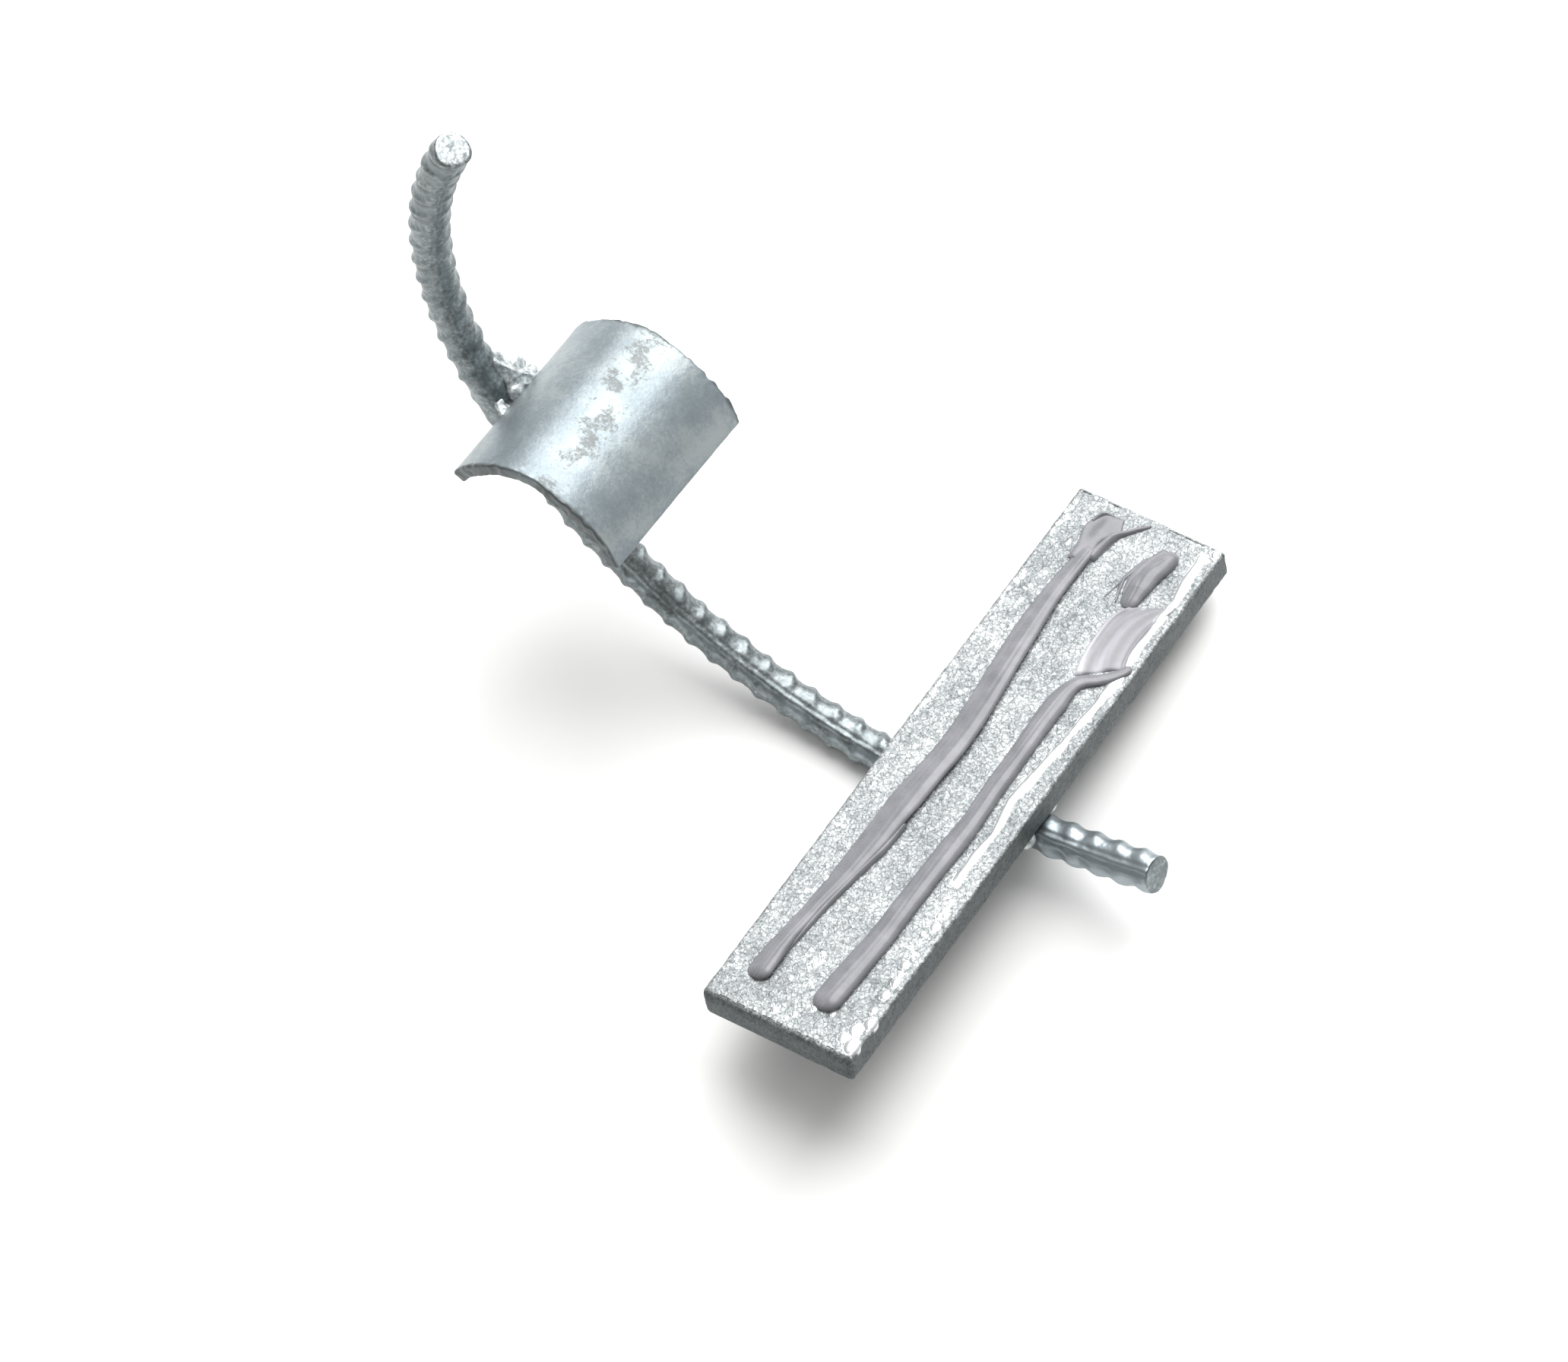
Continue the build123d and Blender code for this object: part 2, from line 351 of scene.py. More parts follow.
drop_x = np.concatenate([
    16.8 + drops.normal(0, 0.7, 16), -12.8 + drops.normal(0, 1.0, 30), drops.uniform(-9, 10, 14),
    -18.5 + drops.normal(0, 0.35, 26), [18.2, 16.6, 18.6, 15.2, 18.4, 17.2, 16.7, 17.5, 17.2],
])
drop_size = np.concatenate([
    drops.uniform(0.5, 0.9, 16), drops.uniform(0.35, 0.6, 30), drops.uniform(0.4, 0.8, 14),
    drops.uniform(0.45, 0.75, 26), [1.9, 1.7, 1.6, 1.3, 1.1, 1.2, 1.1, 1.0, 1.2],
])
drop_height = np.zeros(px.shape)
for dx, dy, size in zip(drop_x, drop_y, drop_size):
    reach = np.hypot(px - dx, (py - dy) * 0.8) / size
    drop_height = np.maximum(drop_height, np.sqrt(np.clip(1 - reach**2, 0, 1)) * min(size, 1.0))
# The smooth run and drops: smooth zinc, which the material also paints pale as a painted highlight.
smooth_zinc_and_glint = np.clip(np.maximum(run_height * 3.0, drop_height * 3.0), 0, 1) * on_top
height = 0.42 * run_height * on_top + 0.45 * drop_height * on_top
height += (0.05 * lumps(plate, 3.0, 1) + 0.05 * lumps(plate, 0.9, 2)) * (1 - smooth_zinc_and_glint * 0.6)
height += 0.10 * lumps(plate, 1.5, 3) * (np.abs(px) > plate_width / 2 - 1.2)  # long edges
height += 0.16 * lumps(plate, 2.2, 4) * np.clip(np.abs(py) - half + 1.5, 0, 1.5) / 1.5  # ends
plate += outward(plate) * (height * open_row)[..., None]
# The sides and underside: duller rolled zinc, darkened further as painted shade.
side_face = np.clip((-plate[..., 2] - 0.3) / 0.4, 0, 1)
make_piece(
    "zinc_coated_plate", [plate], zinc_flat, ["cross_plate"],
    {"zinc_run": [smooth_zinc_and_glint], "rolled_side": [side_face]},
)


# ==== Ribbed bar ===================================================================
# One length of 8 mm reinforcing bar, cold bent to a hook. It was hot rolled with two
# rows of slanted crescent ribs between two long ridges, and zinc fills their corners.

bar_core = 8.4
bar_low = (-1.7, -13.59)  # lowest point of the centre line, X and Z
bends = (  # radius, first and last angle in degrees: the stub, the bend, the hook
    (235.0, -12.75, 0.0), (126.0, 0.0, 78.0), (100.5, 78.0, 121.6),
)
contact_angle = 68.1  # degrees round the bend where the saddle's edge is welded
stub_stop = 34.0  # mm from the stub's end to the plate
ridge_fade = 190.0  # mm from the stub's end, past which the long ridges are filled
hook_start = 200.0  # mm from the stub's end
rib_pitch = 6.6
rib_slant = 22.0
rib_half_span = 80.0  # degrees round the bar from a rib's middle to its tip
rib_height = 0.68
ridge_angle = -36.0  # degrees from the inside of the bend towards -Y


def bar_line(distance):
    """Point, direction and inward normal on the bar's centre line.

    Three arcs follow each other with one tangent. On each, the point is the arc's
    centre minus the radius times the inward normal (sin turn, 0, cos turn).
    """
    radii = np.array([b[0] for b in bends])
    first = np.radians([b[1] for b in bends])
    last = np.radians([b[2] for b in bends])
    ends = np.cumsum(radii * (last - first))
    arc = np.clip(np.searchsorted(ends, distance), 0, 2)
    begun = np.concatenate([[0], ends[:-1]])[arc]
    turn = first[arc] + (distance - begun) / radii[arc]
    inward = np.stack([np.sin(turn), 0 * turn, np.cos(turn)], -1)
    along = np.stack([-np.cos(turn), 0 * turn, np.sin(turn)], -1)
    shared = np.array([bar_low[0], 0, bar_low[1]])
    centre = [shared + (0, 0, radii[0]), shared + (0, 0, radii[1])]
    bent = np.array([math.sin(last[1]), 0, math.cos(last[1])])
    centre.append(centre[1] - (radii[1] - radii[2]) * bent)
    return np.array(centre)[arc] - inward * radii[arc][:, None], along, inward


bar_length = sum(radius * math.radians(last - first) for radius, first, last in bends)
stub_arc = bends[0][0] * math.radians(-bends[0][1])
saddle_station = stub_arc + bends[1][0] * math.radians(contact_angle)


def ring_grid(distance, radius, angle):
    """Rings square to the centre line: point + radius * (inward cos a + sideways sin a)."""
    point, along, inward = bar_line(distance)
    sideways = np.cross(along, inward)
    cosine, sine = np.cos(angle)[None, :, None], np.sin(angle)[None, :, None]
    turned = inward[:, None] * cosine + sideways[:, None] * sine
    return point[:, None] + turned * radius[..., None]


angle = np.linspace(0, 2 * math.pi, 104, endpoint=False)
body = np.linspace(0.5, bar_length - 0.5, 880)
edge_steps = np.array([0.12, 0.3])  # mm in from each sawn end
distance = np.concatenate([
    np.full(7, 0.0), edge_steps, body, bar_length - edge_steps[::-1], np.full(7, bar_length),
])
share = np.linspace(0, 0.93, 7)
share = np.concatenate([share, [0.96, 0.99], np.ones(len(body)), [0.99, 0.96], share[::-1]])

# Ribs: a bell across each crescent, in two rows half a pitch apart. They are wider on
# the stub, where the zinc is thick, and flat under the plate and at the saddle.
side = np.degrees(angle)[None, :] - ridge_angle
offset = (side + 180) % 360 - 180
rib = np.zeros((len(distance), len(angle)))
rib_foot = np.zeros(rib.shape)
near_stub = np.clip((stub_stop - distance) / 4, 0, 1)
rib_spread = (1.25 + 0.6 * near_stub)[:, None]
for row, centre in enumerate((90.0, -90.0)):
    away = (offset - centre + 180) % 360 - 180
    crescent = np.clip(np.cos(np.radians(away * 90 / rib_half_span)), 0, 1) ** 0.8
    crescent = crescent * (np.abs(away) < rib_half_span)
    slant = np.tan(np.radians(rib_slant)) * np.sin(np.radians(away)) * bar_core / 2
    step = (distance[:, None] - slant) / rib_pitch - 0.7 - 0.5 * row
    near_rib = (step - np.round(step)) * rib_pitch
    rib = np.maximum(rib, crescent * gauss(near_rib, rib_spread))
    # Painted shade in the hollow beside each rib.
    rib_foot = np.maximum(rib_foot, crescent * gauss(near_rib + 1.9, 0.9))
x_of = bar_line(distance)[0][:, 0]
under_plate = gauss(np.maximum(np.abs(x_of) - 18, 0), 1.5) * (distance < 80)
at_saddle = gauss(distance - saddle_station, 4.5)
rib *= (1 - np.maximum(under_plate, at_saddle))[:, None]
from_ridge = np.abs(((offset + 90) % 180) - 90)
ridge = gauss(from_ridge, 7.0) - 0.45 * gauss(from_ridge - 15, 5.0)
ridge = ridge * (0.06 + 0.14 * np.clip((ridge_fade - distance) / 40, 0, 1))[:, None]
radius = (bar_core / 2 - 0.02 + rib_height * rib + ridge) * share[:, None]
bar = ring_grid(distance, radius, angle)
zinc = 0.13 * lumps(bar, 3.4, 11) + 0.08 * lumps(bar, 1.5, 12) + 0.02 * lumps(bar, 0.6, 13)
zinc *= (1 - 0.7 * under_plate[:, None])
bar += outward(bar) * (zinc * (share[:, None] > 0.2))[..., None]

# Marks for the material: the sawn tip, thick smooth zinc on the stub, paled partly as a
# painted highlight, painted glints along the upper side, and painted shade at the feet of
# the ribs on the hook.
whole_ring = np.ones((1, len(angle)))
tip_face = np.clip((distance - bar_length + 0.4) / 0.3, 0, 1)[:, None] * whole_ring
on_stub = (near_stub * (distance > 0.2))[:, None] * whole_ring
# Painted glints: a streak along the upper side of the bar, short of the saddle.
top_glints = gauss((offset + 24 + 14 * lumps(bar, 5.0, 14)), 16)
top_glints = top_glints * np.clip(0.3 + 1.4 * lumps(bar, 2.2, 15), 0, 1)
on_hook = 0.75 * np.clip((distance - hook_start) / 25, 0, 1)
rib_foot *= on_hook[:, None] * np.clip(0.8 + lumps(bar, 5.0, 16), 0, 1)
thick_zinc = np.maximum(on_stub * 0.85, top_glints * (distance < saddle_station)[:, None])

# Zinc over rolled ribs: greyer and more of a mirror than the plate, paler on the stub's
# thick zinc and in glints on the upper side as a painted highlight, painted shade at the
# ribs' feet on the hook, and bare bright metal on the sawn tip.
zinc_bar, tree = new_material("galvanised_bar")
place = add(tree, "ShaderNodeTexCoord").outputs["Object"]
thick = add(tree, "ShaderNodeAttribute", {"attribute_name": "thick_zinc"}).outputs["Fac"]
rib_shade = add(tree, "ShaderNodeAttribute", {"attribute_name": "rib_foot"}).outputs["Fac"]
tip = add(tree, "ShaderNodeAttribute", {"attribute_name": "tip_face"}).outputs["Fac"]
fine = add(tree, "ShaderNodeTexNoise", Vector=place, Scale=1000 / 0.9, Detail=3.0, Roughness=0.6)
cloud = add(tree, "ShaderNodeTexNoise", Vector=place, Scale=1000 / 5.0, Detail=4.0, Roughness=0.6)
mixed = add(
    tree, "ShaderNodeMath", {"operation": "MULTIPLY_ADD"},
    _0=cloud.outputs["Fac"], _1=0.7, _2=fine.outputs["Fac"],
)
tone = add(tree, "ShaderNodeValToRGB", {"stops": [
    (0.60, "#666d6f"), (0.80, "#7a8183"), (0.95, "#8b9294"), (1.0, "#a0a6a8"),
]}, Fac=mixed.outputs[0])
# Painted highlight: the stub and the upper-side glints are mixed towards a pale tone.
tone = add(
    tree, "ShaderNodeMix", {"data_type": "RGBA"},
    Factor=thick, _6=tone.outputs["Color"], _7=colour("#a8b2b7"),
)
# Painted shade at the ribs' feet on the hook.
tone = add(
    tree, "ShaderNodeMix", {"data_type": "RGBA"},
    Factor=rib_shade, _6=tone.outputs[2], _7=colour("#34393b"),
)
sawn = add(tree, "ShaderNodeValToRGB", {"stops": [
    (0.40, "#7f8587"), (0.60, "#b9bebf"),
]}, Fac=fine.outputs["Fac"])
tone = add(
    tree, "ShaderNodeMix", {"data_type": "RGBA"},
    Factor=tip, _6=tone.outputs[2], _7=sawn.outputs["Color"],
)
rough = add(
    tree, "ShaderNodeMapRange",
    Value=mixed.outputs[0], From_Min=0.6, From_Max=1.1, To_Min=0.36, To_Max=0.48,
)
rough = add(
    tree, "ShaderNodeMix", {"data_type": "FLOAT"},
    Factor=thick, _2=rough.outputs[0], _3=0.38,
)
bump = add(tree, "ShaderNodeBump", Strength=0.12, Distance=0.0003, Height=fine.outputs["Fac"])
shader = add(
    tree, "ShaderNodeBsdfPrincipled", Base_Color=tone.outputs[2], Metallic=0.9,
    Roughness=rough.outputs[0], Normal=bump.outputs[0],
)
finish_material(tree, shader)
make_piece(
    "zinc_coated_bar", [bar], zinc_bar, ["ribbed_bar"],
    {"tip_face": [tip_face], "thick_zinc": [thick_zinc], "rib_foot": [rib_foot]},
)


# ==== Half-pipe saddle =============================================================
# A 49.5 mm length of 48.3 x 3.2 mm pipe, cut along two lines with a torch or a saw so
# that 136 degrees of it is left. Its long edge is welded to the inside of the bend.

saddle_outer = 24.15
saddle_wall = 3.2
saddle_length = 49.5
saddle_angles = (11.0, 147.0)  # degrees up from X
saddle_centre = (-93.8, 0.4, 54.1)
saddle_tilt = -3.3  # degrees that its far end hangs lower

cut_radius = 0.5
long_turn = np.radians(np.linspace(0, 90, 5))
# Round the wall: out along the top from the near end to the far end, back inside.
wall = box_section(saddle_length / 2, saddle_wall / 2, cut_radius, (120, 9, 90))
first, last = (math.radians(a) for a in saddle_angles)
ease = cut_radius / saddle_outer
edge_turns = ease * (1 - np.sin(long_turn))
middle_turns = np.linspace(first + ease, last - ease, 170)[1:-1]
sweep = np.concatenate([
    np.full(5, first), first + edge_turns[::-1], middle_turns, last - edge_turns, np.full(5, last),
])
trim = cut_radius * (1 - np.cos(long_turn))
flat_edge = np.full(5, trim[-1])
trim = np.concatenate([flat_edge, trim[::-1], np.zeros(len(middle_turns)), trim, flat_edge])
close = np.linspace(0, 1, 6)
close = np.concatenate([close[:-1], np.ones(len(sweep) - 10), close[::-1][1:]])
lengthwise = wall[None, :, 0] * (1 - trim / (saddle_length / 2))[:, None]
depth = wall[None, :, 1] * ((1 - trim / (saddle_wall / 2)) * close)[:, None]
ragged = 0.25 * lumps(np.stack([np.degrees(sweep) / 3, 0 * sweep, 0 * sweep], -1), 1.5, 21)
ragged = 0.35 * np.sin(sweep * 5)[:, None] + ragged[:, None]
lengthwise = lengthwise + ragged * np.clip((np.abs(lengthwise) - 22) / 2.5, 0, 1)
around = saddle_outer - saddle_wall / 2 + depth
tilt = math.radians(saddle_tilt)
up = around * np.sin(sweep)[:, None]
saddle = np.stack([
    saddle_centre[0] + around * np.cos(sweep)[:, None],
    saddle_centre[1] + lengthwise * math.cos(tilt) - up * math.sin(tilt),
    saddle_centre[2] + up * math.cos(tilt) + lengthwise * math.sin(tilt),
], -1)
rough_end = gauss(np.maximum(saddle_length / 2 - np.abs(lengthwise), 0), 1.6)
zinc = 0.05 * lumps(saddle, 7.0, 22) + 0.03 * lumps(saddle, 2.0, 23)
zinc += rough_end * (0.20 * lumps(saddle, 1.3, 24) + 0.04)
phi = np.degrees(sweep)[:, None] + 0 * lengthwise
ash = gauss(phi - 76 - 6 * np.sin(lengthwise / 9), 13)
ash = ash * np.clip(0.8 + 0.9 * lumps(saddle, 3.0, 25), 0, 1)
lone_stain = gauss(phi - 50, 4 + 2 * np.sin(lengthwise)) * gauss(lengthwise, 2.2) * 0.7
ash = np.maximum(ash, lone_stain)
end_face = np.clip((np.abs(lengthwise) - saddle_length / 2 + 0.9) / 0.6, 0, 1)
saddle += outward(saddle) * (zinc * (close[:, None] > 0.3))[..., None]

# Smooth pipe takes an even satin coat of zinc, blue-grey, with dull ash and flux
# stains near its crown and darker torch-cut ends.
zinc_tube, tree = new_material("galvanised_tube")
place = add(tree, "ShaderNodeTexCoord").outputs["Object"]
fine = add(tree, "ShaderNodeTexNoise", Vector=place, Scale=1000 / 0.8, Detail=3.0, Roughness=0.6)
cloud = add(tree, "ShaderNodeTexNoise", Vector=place, Scale=1000 / 14.0, Detail=5.0, Roughness=0.6)
speck = add(tree, "ShaderNodeTexNoise", Vector=place, Scale=1000 / 1.0, Detail=6.0, Roughness=0.8)
dusty = add(tree, "ShaderNodeAttribute", {"attribute_name": "ash_stain"}).outputs["Fac"]
cut = add(tree, "ShaderNodeAttribute", {"attribute_name": "cut_end"}).outputs["Fac"]
grainy = add(
    tree, "ShaderNodeMath", {"operation": "MULTIPLY_ADD"},
    _0=speck.outputs["Fac"], _1=0.8, _2=cloud.outputs["Fac"],
)
tone = add(tree, "ShaderNodeValToRGB", {"stops": [
    (0.66, "#808b90"), (0.86, "#8c969b"), (1.0, "#9ca4a6"),
]}, Fac=grainy.outputs[0])
patchy = add(
    tree, "ShaderNodeMath", {"operation": "MULTIPLY_ADD"},
    _0=dusty, _1=0.26, _2=speck.outputs["Fac"],
)
stain = add(
    tree, "ShaderNodeMapRange",
    Value=patchy.outputs[0], From_Min=0.63, From_Max=0.75, To_Min=0.0, To_Max=0.75,
)
tone = add(
    tree, "ShaderNodeMix", {"data_type": "RGBA"},
    Factor=stain.outputs[0], _6=tone.outputs["Color"], _7=colour("#727472"),
)
tone = add(
    tree, "ShaderNodeMix", {"data_type": "RGBA"},
    Factor=cut, _6=tone.outputs[2], _7=colour("#5d6364"),
)
rough = add(
    tree, "ShaderNodeMapRange",
    Value=fine.outputs["Fac"], From_Min=0.3, From_Max=0.7, To_Min=0.36, To_Max=0.46,
)
rough = add(
    tree, "ShaderNodeMath", {"operation": "MULTIPLY_ADD"},
    _0=stain.outputs[0], _1=0.25, _2=rough.outputs[0],
)
bump = add(tree, "ShaderNodeBump", Strength=0.30, Distance=0.0002, Height=fine.outputs["Fac"])
shader = add(
    tree, "ShaderNodeBsdfPrincipled", Base_Color=tone.outputs[2], Metallic=0.55,
    Roughness=rough.outputs[0], Normal=bump.outputs[0],
)
finish_material(tree, shader)
make_piece(
    "zinc_coated_saddle", [saddle], zinc_tube, ["half_pipe_saddle"],
    {"ash_stain": [ash], "cut_end": [end_face]},
)


# ==== Welds ========================================================================
# Stick-weld metal under zinc: a web between the bar and the saddle's edge on the far
# side, a small tack on the near side, and a fillet along each side of the bar under
# the plate.

contact_turn = math.radians(contact_angle)
contact = bar_line(np.array([saddle_station]))[0][0]
inside = np.array([math.sin(contact_turn), 0, math.cos(contact_turn)])
up_bar = np.array([-math.cos(contact_turn), 0, math.sin(contact_turn)])


def web(side, up, out, thick, seed):
    """A web from the bar to the saddle's edge.

    Each row is a flattened ring about the line from a point up the bar to a point
    out along the saddle's edge, and the rows open out from the corner between them.
    """
    grow = np.concatenate([np.linspace(0, 1, 44), np.full(8, 1.0)])
    shrink = np.concatenate([np.ones(44), np.cos(np.radians(np.linspace(10, 90, 8)))])
    ring = np.linspace(0, 2 * math.pi, 72, endpoint=False)
    on_bar = contact + up_bar * (up * grow)[:, None] + inside * 2.0 + np.array([0, side * 1.6, 0])
    edge = side * np.array([0, math.cos(tilt), math.sin(tilt)])
    on_edge = contact + inside * 5.7 - up_bar * 0.7 + edge * out * grow[:, None]
    across = 0.5 - 0.54 * np.cos(ring)
    line = on_bar[:, None] * (1 - across)[None, :, None] + on_edge[:, None] * across[None, :, None]
    sag = 4 * across * (1 - across) * 0.10
    line = line + (contact + inside * 3 - line) * (sag[None, :] * grow[:, None])[..., None]
    flat = np.sin(ring)[None, :] * thick * (0.35 + 0.65 * grow[:, None]) * shrink[:, None]
    facing = np.cross(on_edge[-1] - contact, on_bar[-1] - contact)
    facing = facing / np.linalg.norm(facing)
    line = line + flat[..., None] * facing
    spread = np.abs(np.sin(ring))[None, :, None]
    line += (1 - shrink)[:, None, None] * 0.6 * (up_bar + np.array([0, side, 0])) * spread
    rough = 0.40 * lumps(line, 2.0, seed) + 0.28 * lumps(line, 1.0, seed + 1)
    return line + outward(line) * (rough * (shrink * np.clip(grow * 4, 0, 1))[:, None])[..., None]


def blob(centre, radii, seed):
    """A rough ball: centre and radii are in the directions inside, +Y and up_bar."""
    polar = np.linspace(0, math.pi, 40)[:, None]
    ring = np.linspace(0, 2 * math.pi, 60, endpoint=False)[None, :]
    around = np.sin(polar)
    ball = np.stack([around * np.cos(ring), around * np.sin(ring), np.cos(polar) + 0 * ring], -1)
    axes = np.array([inside, [0, 1, 0], up_bar])
    grid = contact + (np.array(centre) + ball * radii) @ axes
    return grid + outward(grid) * (0.35 * lumps(grid, 1.6, seed) * around)[..., None]


def fillet_run(side, seed):
    """A fillet along the bar under the plate: rippled rings carried along X.

    The ring's size is 2.7 mm * (1 - |share|^14)^0.5 with a ripple every 1.9 mm, and
    its top is held at the plate's underside.
    """
    run = np.linspace(-plate_width / 2 - 1.0, plate_width / 2 - 0.2 - 0.5 * side, 130)
    ring = np.linspace(0, 2 * math.pi, 40, endpoint=False)
    reach = np.sqrt(np.clip(1 - np.abs(run / run[-1]) ** 14, 0, 1))
    ripple = 1 + 0.05 * np.cos(run * 2 * math.pi / 1.9)
    size = 2.7 * reach * ripple
    y = side * (bar_core / 2 + 1.1) + size[:, None] * np.cos(ring)
    z = -plate_thickness - 1.5 + size[:, None] * np.sin(ring) * 0.8
    grid = np.stack([np.repeat(run[:, None], 40, 1), y, np.minimum(z, -plate_thickness + 0.25)], -1)
    rough = 0.22 * lumps(grid, 1.8, seed)
    return grid + outward(grid) * (rough * (reach[:, None] > 0.3))[..., None]


# Weld metal comes out of the bath rough: bright lumps with dark pits between them.
zinc_weld, tree = new_material("galvanised_weld")
place = add(tree, "ShaderNodeTexCoord").outputs["Object"]
fine = add(tree, "ShaderNodeTexNoise", Vector=place, Scale=1000 / 1.1, Detail=5.0, Roughness=0.7)
tone = add(tree, "ShaderNodeValToRGB", {"stops": [
    (0.34, "#8b9193"), (0.46, "#b2b8ba"), (0.58, "#d6dadb"), (0.70, "#f0f2f2"),
]}, Fac=fine.outputs["Fac"])
bump = add(tree, "ShaderNodeBump", Strength=0.45, Distance=0.0004, Height=fine.outputs["Fac"])
shader = add(
    tree, "ShaderNodeBsdfPrincipled", Base_Color=tone.outputs["Color"], Metallic=0.45,
    Roughness=0.30, Normal=bump.outputs[0],
)
finish_material(tree, shader)
lumps_of_weld = [blob(*lump) for lump in (
    ((4.0, 5.0, 3.0), (1.9, 2.6, 3.4), 37),
    ((4.2, 7.6, 1.0), (1.7, 3.4, 1.8), 38),
    ((2.8, 4.2, 8.0), (1.5, 1.8, 4.6), 39),
    ((4.6, 3.2, 1.4), (1.7, 3.0, 2.0), 41),
    ((3.6, 6.8, 4.6), (1.4, 3.2, 2.4), 42),
)]
for name, grids, node in (
    ("weld_web", [web(1, 15.5, 11.0, 2.6, 31), *lumps_of_weld], "saddle_weld_web"),
    ("weld_tack", [web(-1, 3.4, 4.2, 1.2, 33)], "saddle_weld_tack"),
    ("weld_under_plate_near", [fillet_run(-1, 35)], "plate_weld_near"),
    ("weld_under_plate_far", [fillet_run(1, 36)], "plate_weld_far"),
):
    make_piece(name, grids, zinc_weld, [node])


# ==== Sealant beads ================================================================
# Grey sealant, gunned on in long beads and drawn out by hand. Each bead leans: a
# flat flank on its hook side carries drag lines, and the ridge stands at the other.


def smooth_path(points, count):
    """Even steps along the cubic that passes through the points.

    Between two points it is the Hermite cubic of their places and of half the step
    between their neighbours.
    """
    points = np.array(points, float)
    pull = np.gradient(points, axis=0)
    t = np.linspace(0, len(points) - 1, 600)
    i = np.minimum(t.astype(int), len(points) - 2)
    f = (t - i)[:, None]
    dense = (
        (2 * f**3 - 3 * f**2 + 1) * points[i] + (f**3 - 2 * f**2 + f) * pull[i]
        + (3 * f**2 - 2 * f**3) * points[i + 1] + (f**3 - f**2) * pull[i + 1]
    )
    gone = np.concatenate([[0], np.cumsum(np.linalg.norm(np.diff(dense, axis=0), axis=1))])
    even = (1 - np.cos(np.linspace(0, math.pi, count))) / 2 * 0.12 + np.linspace(0, 1, count) * 0.88
    even = even / even[-1] * gone[-1]
    return np.stack([np.interp(even, gone, dense[:, k]) for k in range(points.shape[1])], -1), even


def bead(points, widths, heights, lean, seed, ring_count=56):
    """A leaning bead along a path on the plate.

    Its section at angle a is across = w (cos a + lean sin a), up = h sin a, with the
    underside only a little below the plate's face. w and h follow the lists of share
    of the length and size, and both ends close like a quarter of a ball. Drag lines
    and lumps of under 0.2 mm are added to its upper side.
    """
    line, gone = smooth_path(points, 60 + 36 * len(points))
    share = gone / gone[-1]
    width = np.interp(share, *np.array(widths).T)
    height = np.interp(share, *np.array(heights).T)
    near = np.clip(gone / width, 0, 1)
    far = np.clip((gone[-1] - gone) / width, 0, 1)
    round_off = np.sqrt(1 - (1 - near) ** 2) * np.sqrt(1 - (1 - far) ** 2)
    heading = np.gradient(line, axis=0)
    heading /= np.linalg.norm(heading, axis=1, keepdims=True)
    right = np.stack([heading[:, 1], -heading[:, 0]], -1)
    ring = np.linspace(0, 2 * math.pi, ring_count, endpoint=False)
    rise = np.where(np.sin(ring) > 0, np.sin(ring), 0.12 * np.sin(ring))
    across = np.cos(ring) + lean * np.clip(np.sin(ring), 0, 1)
    across = across[None, :] * (width * round_off)[:, None]
    up = rise[None, :] * (height * round_off)[:, None]
    flat = line[:, None] + right[:, None] * across[..., None]
    grid = np.concatenate([flat, up[..., None]], -1)
    drag = 0.06 * np.sin(ring * 13 + 2 * np.sin(share * 9)[:, None]) * (np.cos(ring) < 0.1)[None, :]
    drag = drag + 0.06 * lumps(grid * (1, 0.15, 1), 1.3, 40 + seed)
    drag = drag + 0.07 * lumps(grid, 6.0, 50 + seed)
    drag = drag * (round_off > 0.5)[:, None] * (np.sin(ring) > 0.05)
    return grid + outward(grid) * drag[..., None]


# Cured sealant is a soft plastic: a low sheen on smooth runs, lilac-grey, with fine
# dust and drag lines, and a brown tinge where it has picked up dirt at the ends.
sealant, tree = new_material("grey_sealant")
place = add(tree, "ShaderNodeTexCoord").outputs["Object"]
cloud = add(tree, "ShaderNodeTexNoise", Vector=place, Scale=1000 / 7.0, Detail=4.0, Roughness=0.55)
fine = add(tree, "ShaderNodeTexNoise", Vector=place, Scale=1000 / 0.35, Detail=2.0, Roughness=0.5)
tone = add(tree, "ShaderNodeValToRGB", {"stops": [
    (0.35, "#77787c"), (0.55, "#838388"), (0.72, "#8f8f94"),
]}, Fac=cloud.outputs["Fac"])
dirty = add(tree, "ShaderNodeAttribute", {"attribute_name": "dirty_end"}).outputs["Fac"]
tone = add(
    tree, "ShaderNodeMix", {"data_type": "RGBA"},
    Factor=dirty, _6=tone.outputs["Color"], _7=colour("#8d7565"),
)
rough = add(
    tree, "ShaderNodeMapRange",
    Value=fine.outputs["Fac"], From_Min=0.3, From_Max=0.7, To_Min=0.24, To_Max=0.34,
)
bump = add(tree, "ShaderNodeBump", Strength=0.10, Distance=0.0002, Height=fine.outputs["Fac"])
shader = add(
    tree, "ShaderNodeBsdfPrincipled", Base_Color=tone.outputs[2], Roughness=rough.outputs[0],
    Normal=bump.outputs[0], IOR=1.46,
)
finish_material(tree, shader)

left_run = [
    (-11.4, -71.5), (-11.4, -62.0), (-10.3, -49.0), (-9.1, -38.0), (-8.3, -27.0),
    (-7.9, -16.0), (-7.2, -7.0), (-6.5, 3.0), (-6.8, 14.0), (-7.9, 26.0), (-8.9, 38.0),
    (-9.3, 50.0), (-8.9, 60.0), (-8.4, 66.0),
]
left_widths = [
    (0, 2.8), (0.05, 2.7), (0.1, 2.1), (0.17, 1.9), (0.25, 2.6), (0.33, 3.2), (0.42, 3.6),
    (0.5, 3.3), (0.8, 3.0), (0.9, 2.4), (1, 1.8),
]
left_heights = [
    (0, 2.2), (0.06, 2.2), (0.15, 1.5), (0.25, 1.6), (0.36, 2.2), (0.45, 2.3), (0.6, 2.1),
    (0.85, 2.2), (1, 1.6),
]
left_bead = bead(left_run, left_widths, left_heights, lean=0.75, seed=1)
